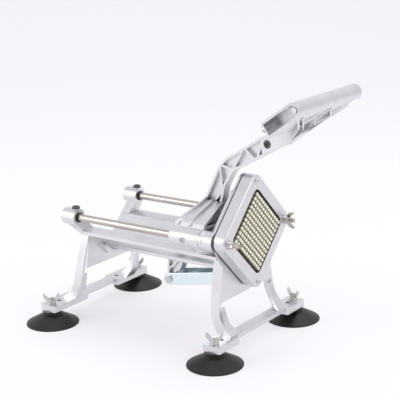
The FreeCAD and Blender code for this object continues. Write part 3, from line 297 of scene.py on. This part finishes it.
shift_x = -0.0387226
stud_pitch = 0.00635
stud_gap = 0.0020
stud_half = (stud_pitch - stud_gap) / 2
tip_chamfer = 0.0010
block_back, block_front, stud_tip = 0.1127 + shift_x, 0.1177 + shift_x, 0.1445 + shift_x
rod_height = 0.1505
slope = Matrix.Rotation(math.radians(45), 4, "X")
stud_mesh = bpy.data.meshes.new("one stud")
stud_work = bmesh.new()
stud_place = Matrix.Translation(((block_front + stud_tip) / 2 - 0.00025, 0, 0))
stud_size = Matrix.Diagonal((stud_tip - block_front + 0.0005, 2 * stud_half, 2 * stud_half, 1))
bmesh.ops.create_cube(stud_work, size=1.0, matrix=stud_place @ stud_size)
tip_edges = [e for e in stud_work.edges if all(v.co.x > stud_tip - 0.0001 for v in e.verts)]
bmesh.ops.bevel(stud_work, geom=tip_edges, offset=tip_chamfer, segments=2, affect="EDGES", profile=0.6)
first_stud = -stud_pitch * 5.5
first_place = Matrix.Translation((0, 0, rod_height)) @ slope @ Matrix.Translation((0, first_stud, first_stud))
bmesh.ops.transform(stud_work, verts=stud_work.verts, matrix=first_place)
stud_work.to_mesh(stud_mesh)
stud_work.free()
studs = repeated("pusher_block_moulding", stud_mesh, (12, 12),
                 (slope @ Vector((0, stud_pitch, 0)), slope @ Vector((0, 0, stud_pitch))), cream)
base_work = bmesh.new()
base_work.from_mesh(studs)
base_side = 12 * stud_pitch - stud_gap
base_place = Matrix.Translation(((block_back + block_front) / 2, 0, rod_height))
base_size = Matrix.Diagonal((block_front - block_back, base_side, base_side, 1))
bmesh.ops.create_cube(base_work, size=1.0, matrix=base_place @ slope @ base_size)
base_work.to_mesh(studs)
base_work.free()
block = bpy.data.objects.new("pusher_block_moulding", studs)
bpy.context.scene.collection.objects.link(block)
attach(block, "carriage")
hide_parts("pusher_block")

# Lever and handle
# The arm is a ribbed casting with a flat web in a raised rim. The wide hollow handle is a
# casting of its own, bolted on the arm's end.

softened("lever_arm", "lever_arm_casting", "lever", 0.0008, bright_casting)
softened("handle", "handle_casting", "lever", 0.001, bright_casting, 3)
softened("handle_bolt", "handle_bolt_dark", "lever", 0.0004, dark_steel)
for node_name in ("handle_nut", "grip_screws"):
    softened(node_name, node_name + "_plated", "lever", 0.0004, nickel)

# Link
# A pressed steel channel with a clear zinc finish, pinned to the lever's foot and hooked
# under the front frame.

zinc = turned_steel("clear zinc", (0.78, 0.89, 0.93, 1.0), 0.28, 0.2)
softened("link", "link_channel", "link", 0.0006, zinc)
for node_name in ("link_rear_pin", "link_front_pin"):
    softened(node_name, node_name + "_plated", "link", 0.0004, nickel)
# Painted shade: the clips are near-black so that they stand in for the dark opening round each pin.
softened("link_clips", "link_clips_painted_shade", "link", 0.0003, dark_steel)

# Feet
# Four moulded rubber suction cups. A stud through each pad takes a washer and a nickel
# plated wing nut.

rubber = bpy.data.materials.new("black rubber")
rubber.use_nodes = True
rubber_shader = rubber.node_tree.nodes["Principled BSDF"]
rubber_shader.inputs["Specular IOR Level"].default_value = 0.4
rubber_place = rubber.node_tree.nodes.new("ShaderNodeTexCoord")
rubber_bloom = rubber.node_tree.nodes.new("ShaderNodeTexNoise")
rubber_bloom.inputs["Scale"].default_value = 70.0
rubber_tone = rubber.node_tree.nodes.new("ShaderNodeValToRGB")
rubber_tone.color_ramp.elements[0].color = (0.004, 0.004, 0.0045, 1.0)
rubber_tone.color_ramp.elements[1].color = (0.013, 0.013, 0.014, 1.0)
rubber_gloss = rubber.node_tree.nodes.new("ShaderNodeMapRange")
rubber_gloss.inputs["To Min"].default_value = 0.34
rubber_gloss.inputs["To Max"].default_value = 0.52
rubber.node_tree.links.new(rubber_place.outputs["Object"], rubber_bloom.inputs["Vector"])
rubber.node_tree.links.new(rubber_bloom.outputs["Fac"], rubber_tone.inputs["Fac"])
rubber.node_tree.links.new(rubber_tone.outputs["Color"], rubber_shader.inputs["Base Color"])
rubber.node_tree.links.new(rubber_bloom.outputs["Fac"], rubber_gloss.inputs["Value"])
rubber.node_tree.links.new(rubber_gloss.outputs["Result"], rubber_shader.inputs["Roughness"])
softened("rear_bumpers", "rear_bumpers_moulded", "frame", 0.0005, rubber, 3)
for node_name in ("foot_studs", "foot_washers"):
    softened(node_name, node_name + "_plated", "frame", 0.0004, nickel)
for place in ("front_right", "front_left", "rear_right", "rear_left"):
    softened("suction_cup_" + place, "cup_" + place, "frame", 0.0006, rubber, 3)
    softened("foot_wing_nut_" + place, "foot_wings_" + place, "foot_nut_" + place, 0.0006, nickel)

# Floor and light
# A white sweep of studio paper under and behind the cutter. The largest soft light stands low
# at the front left, with weaker ones above and at the far right.

paper = bpy.data.materials.new("white paper")
paper.use_nodes = True
paper_shader = paper.node_tree.nodes["Principled BSDF"]
paper_shader.inputs["Base Color"].default_value = (0.42, 0.415, 0.425, 1.0)
paper_shader.inputs["Roughness"].default_value = 0.8
paper_shader.inputs["Emission Color"].default_value = (1.0, 0.975, 1.0, 1.0)
paper_shader.inputs["Emission Strength"].default_value = 0.50
sweep_mesh = bpy.data.meshes.new("studio_sweep")
sweep_work = bmesh.new()
rows = []
profile = [(-12.0, 0.0), (1.6, 0.0)]
profile += [(1.6 + 1.2 * math.sin(t * math.pi / 24), 1.2 - 1.2 * math.cos(t * math.pi / 24)) for t in range(1, 13)]
profile += [(2.8, 5.0)]
away = Vector((-math.sin(math.radians(36.27)), math.cos(math.radians(36.27)), 0))
across = Vector((away.y, -away.x, 0))
for depth, height in profile:
    rows.append([sweep_work.verts.new(away * depth + across * side + Vector((0, 0, height)))
                 for side in (-12, 12)])
for low, high in zip(rows, rows[1:]):
    face = sweep_work.faces.new((low[0], low[1], high[1], high[0]))
    face.smooth = True
sweep_work.to_mesh(sweep_mesh)
sweep_work.free()
sweep_mesh.materials.append(paper)
sweep = bpy.data.objects.new("studio_sweep", sweep_mesh)
bpy.context.scene.collection.objects.link(sweep)

world = bpy.data.worlds.new("studio")
bpy.context.scene.world = world
world.use_nodes = True
sky = world.node_tree.nodes["Background"]
sky_place = world.node_tree.nodes.new("ShaderNodeTexCoord")
sky_axes = world.node_tree.nodes.new("ShaderNodeSeparateXYZ")
sky_height = world.node_tree.nodes.new("ShaderNodeMapRange")
sky_height.inputs["From Min"].default_value = -1.0
sky_tone = world.node_tree.nodes.new("ShaderNodeValToRGB")
sky_tone.color_ramp.elements[0].position = 0.38
sky_tone.color_ramp.elements[0].color = (0.50, 0.49, 0.50, 1.0)
sky_tone.color_ramp.elements[1].position = 0.72
sky_tone.color_ramp.elements[1].color = (0.96, 0.97, 1.0, 1.0)
horizon = sky_tone.color_ramp.elements.new(0.52)
horizon.color = (0.40, 0.38, 0.38, 1.0)
world.node_tree.links.new(sky_place.outputs["Generated"], sky_axes.inputs["Vector"])
world.node_tree.links.new(sky_axes.outputs["Z"], sky_height.inputs["Value"])
world.node_tree.links.new(sky_height.outputs["Result"], sky_tone.inputs["Fac"])
world.node_tree.links.new(sky_tone.outputs["Color"], sky.inputs["Color"])
sky.inputs["Strength"].default_value = 0.85

for name, spot, aim, wide, power in (
        ("key", (-1.6, -1.5, 0.9), (0, 0, 0.15), 1.2, 18.0),
        ("fill", (1.5, 0.2, 1.2), (0, 0, 0.15), 0.9, 7.0),
        ("top", (0.1, 0.6, 2.0), (0, 0, 0.1), 1.6, 9.0)):
    lamp = bpy.data.lights.new(name, "AREA")
    lamp.shape = "SQUARE"
    lamp.size = wide
    lamp.energy = power
    light = bpy.data.objects.new(name, lamp)
    light.location = spot
    light.rotation_euler = (Vector(aim) - Vector(spot)).to_track_quat("-Z", "Y").to_euler()
    bpy.context.scene.collection.objects.link(light)

# Camera
# At the photograph's place, fitted to its cups, rods and blade case.

camera_turn, camera_dip, camera_roll = math.radians(36.27), math.radians(15.10), math.radians(-1.72)
ahead = Vector((-math.sin(camera_turn) * math.cos(camera_dip), math.cos(camera_turn) * math.cos(camera_dip),
                -math.sin(camera_dip)))
right = Vector((math.cos(camera_turn), math.sin(camera_turn), 0))
up = right.cross(ahead)
tilted_right = right * math.cos(camera_roll) + up * math.sin(camera_roll)
tilted_up = up * math.cos(camera_roll) - right * math.sin(camera_roll)
lens = bpy.data.cameras.new("studio camera")
lens.sensor_width = 36.0
lens.lens = 101.1
lens.clip_end = 50.0
camera = bpy.data.objects.new("studio camera", lens)
turn = Matrix((tilted_right, tilted_up, -ahead)).transposed().to_4x4()
camera.matrix_world = Matrix.Translation((0.8614, -1.1542, 0.5666)) @ turn
bpy.context.scene.collection.objects.link(camera)
bpy.context.scene.camera = camera
bpy.context.scene.view_settings.view_transform = "Standard"
